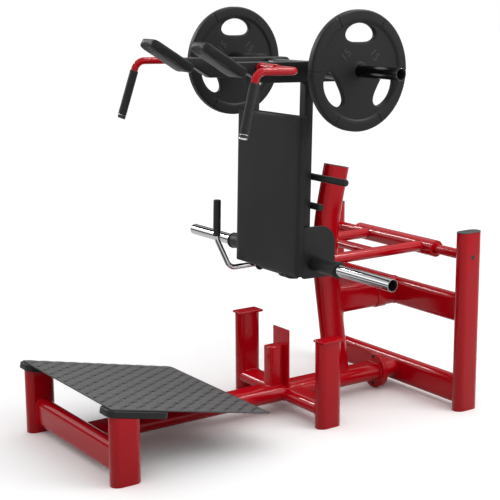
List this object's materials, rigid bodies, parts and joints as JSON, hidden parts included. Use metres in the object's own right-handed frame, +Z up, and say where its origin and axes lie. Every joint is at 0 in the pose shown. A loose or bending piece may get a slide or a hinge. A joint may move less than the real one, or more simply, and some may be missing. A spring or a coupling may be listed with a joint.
{
  "type": "standing calf raise machine",
  "caption": "Plate-loaded lever machine for standing calf raises: sloping tread, swinging carriage with back and shoulder pads, handles, horns and release lever.",
  "frame": {"origin": "middle of the footprint, on the floor", "axes": "+Z up; -Y is the front, where the tread is; +Y is the rear, where the pivot shaft is; left is -X"},
  "size_m": [1.366, 1.6916, 1.6523],
  "materials": {
    "frame_paint": "glossy deep red powder coat",
    "carriage_paint": "satin black powder coat",
    "tread_sheet": "grey sheet with raised grip bumps",
    "end_cap": "satin dark plastic",
    "pad_cover": "fine-grained black upholstery",
    "grip_rubber": "soft black rubber",
    "stop_rubber": "firm black rubber",
    "plate_rubber": "charcoal rubber coating",
    "bright_chrome": "polished chrome",
    "dark_chrome": "dark polished chrome"
  },
  "bodies": {
    "frame": {"front_post_left": "frame_paint", "front_post_right": "frame_paint", "front_crossbar": "frame_paint", "base_beam": "frame_paint", "base_flange_rear": "frame_paint", "mid_crossbar_left": "frame_paint", "mid_crossbar_right": "frame_paint", "mid_post_left": "frame_paint", "mid_post_right": "frame_paint", "rest_cap_left": "frame_paint", "rest_cap_right": "frame_paint", "catch_post": "frame_paint", "catch_plate": "frame_paint", "column": "frame_paint", "column_cap": "end_cap", "upper_link": "frame_paint", "rear_lower_crossbar": "frame_paint", "rear_upper_crossbar": "frame_paint", "rear_post_left": "frame_paint", "rear_post_right": "frame_paint", "rear_post_cap_left": "end_cap", "rear_post_cap_right": "end_cap", "pivot_shaft": "frame_paint", "platform_tread": "tread_sheet", "platform_bracket_left": "carriage_paint", "platform_bracket_right": "carriage_paint", "platform_support": "frame_paint"},
    "carriage": {"pivot_sleeve": "frame_paint", "pivot_bush_left": "end_cap", "pivot_bush_right": "end_cap", "lever_arm_left": "frame_paint", "lever_arm_right": "frame_paint", "arm_cross_tube": "frame_paint", "lower_horn_bar": "bright_chrome", "lower_collar_left": "stop_rubber", "lower_collar_right": "stop_rubber", "bracket_plate_left": "carriage_paint", "bracket_plate_right": "carriage_paint", "rail_left": "carriage_paint", "rail_right": "carriage_paint", "peg_upper": "carriage_paint", "peg_lower": "carriage_paint", "back_pad": "pad_cover", "top_arm_left": "carriage_paint", "top_arm_right": "carriage_paint", "shoulder_pad_left": "pad_cover", "shoulder_pad_right": "pad_cover", "handle_left": "frame_paint", "handle_right": "frame_paint", "handle_grip_left": "grip_rubber", "handle_grip_right": "grip_rubber", "top_horn_bar": "dark_chrome", "top_collar_left": "carriage_paint", "top_collar_right": "carriage_paint", "release_bearing": "carriage_paint"},
    "release_lever": {"release_rod": "bright_chrome", "release_grip": "grip_rubber"},
    "weight_left": {"weight_plate_left": "plate_rubber"},
    "weight_right": {"weight_plate_right": "plate_rubber"}
  },
  "joints": [
    {"name": "carriage_swing", "type": "hinge", "parent": "frame", "child": "carriage", "pos_m": [0, 0.78893, 0.652], "axis": [1, 0, 0], "range_deg": [-20, 22]},
    {"name": "release_lever_turn", "type": "hinge", "parent": "carriage", "child": "release_lever", "pos_m": [0, 0.20572, 0.57524], "axis": [-1, 0, 0], "range_deg": [0, 32]},
    {"name": "weight_slide_left", "type": "slide", "parent": "carriage", "child": "weight_left", "axis": [-1, 0, 0], "range_m": [0, 0.28]},
    {"name": "weight_slide_right", "type": "slide", "parent": "carriage", "child": "weight_right", "axis": [1, 0, 0], "range_m": [0, 0.28]}
  ]
}
